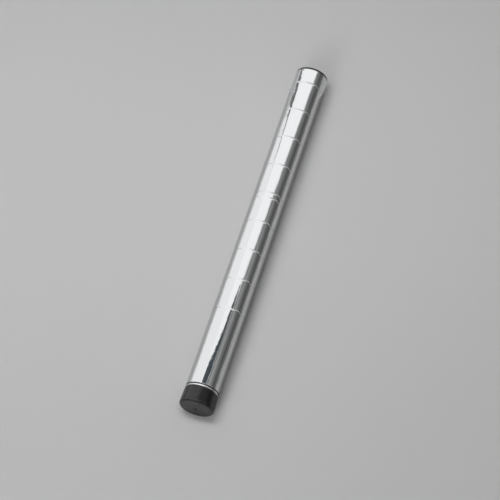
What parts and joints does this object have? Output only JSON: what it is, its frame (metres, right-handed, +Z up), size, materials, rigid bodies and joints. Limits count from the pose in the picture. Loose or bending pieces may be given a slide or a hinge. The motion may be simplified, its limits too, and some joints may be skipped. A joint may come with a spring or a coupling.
{
  "type": "grooved shelving post with levelling foot",
  "caption": "Short chromed steel tube post with evenly spaced rolled grooves, a counting mark, a plastic top cap and a black screw-adjusted levelling foot.",
  "frame": {"origin": "on the surface that the post lies on, under the middle of its length", "axes": "+Y along the post from the foot to the top end, +Z up, +X to the right"},
  "size_m": [0.026, 0.2964, 0.026],
  "materials": {
    "chromed_tube": "bright chrome plate on a rolled steel tube",
    "chromed_socket": "bright chrome plate on a turned steel insert",
    "plated_bolt": "zinc-plated rolled thread",
    "foot_plastic": "satin black moulded plastic with a fine grain",
    "cap_plastic": "dark moulded plastic, slightly glossy"
  },
  "bodies": {
    "post": {"post_tube": "chromed_tube", "top_cap": "cap_plastic", "foot_socket": "chromed_socket"},
    "foot": {"foot_shell": "foot_plastic"},
    "bolt": {"leveling_bolt": "plated_bolt"}
  },
  "joints": [
    {"name": "foot_extend", "type": "slide", "parent": "post", "child": "foot", "axis": [0, -1, 0], "range_m": [0, 0.015]},
    {"name": "bolt_turn", "type": "hinge", "parent": "foot", "child": "bolt", "pos_m": [0, -0.13544, 0.013], "axis": [0, -1, 0], "range_deg": [0, 3601]}
  ],
  "couplings": [
    {"joint": "bolt_turn", "follows": "foot_extend", "rad_per_m": 4188.8}
  ]
}
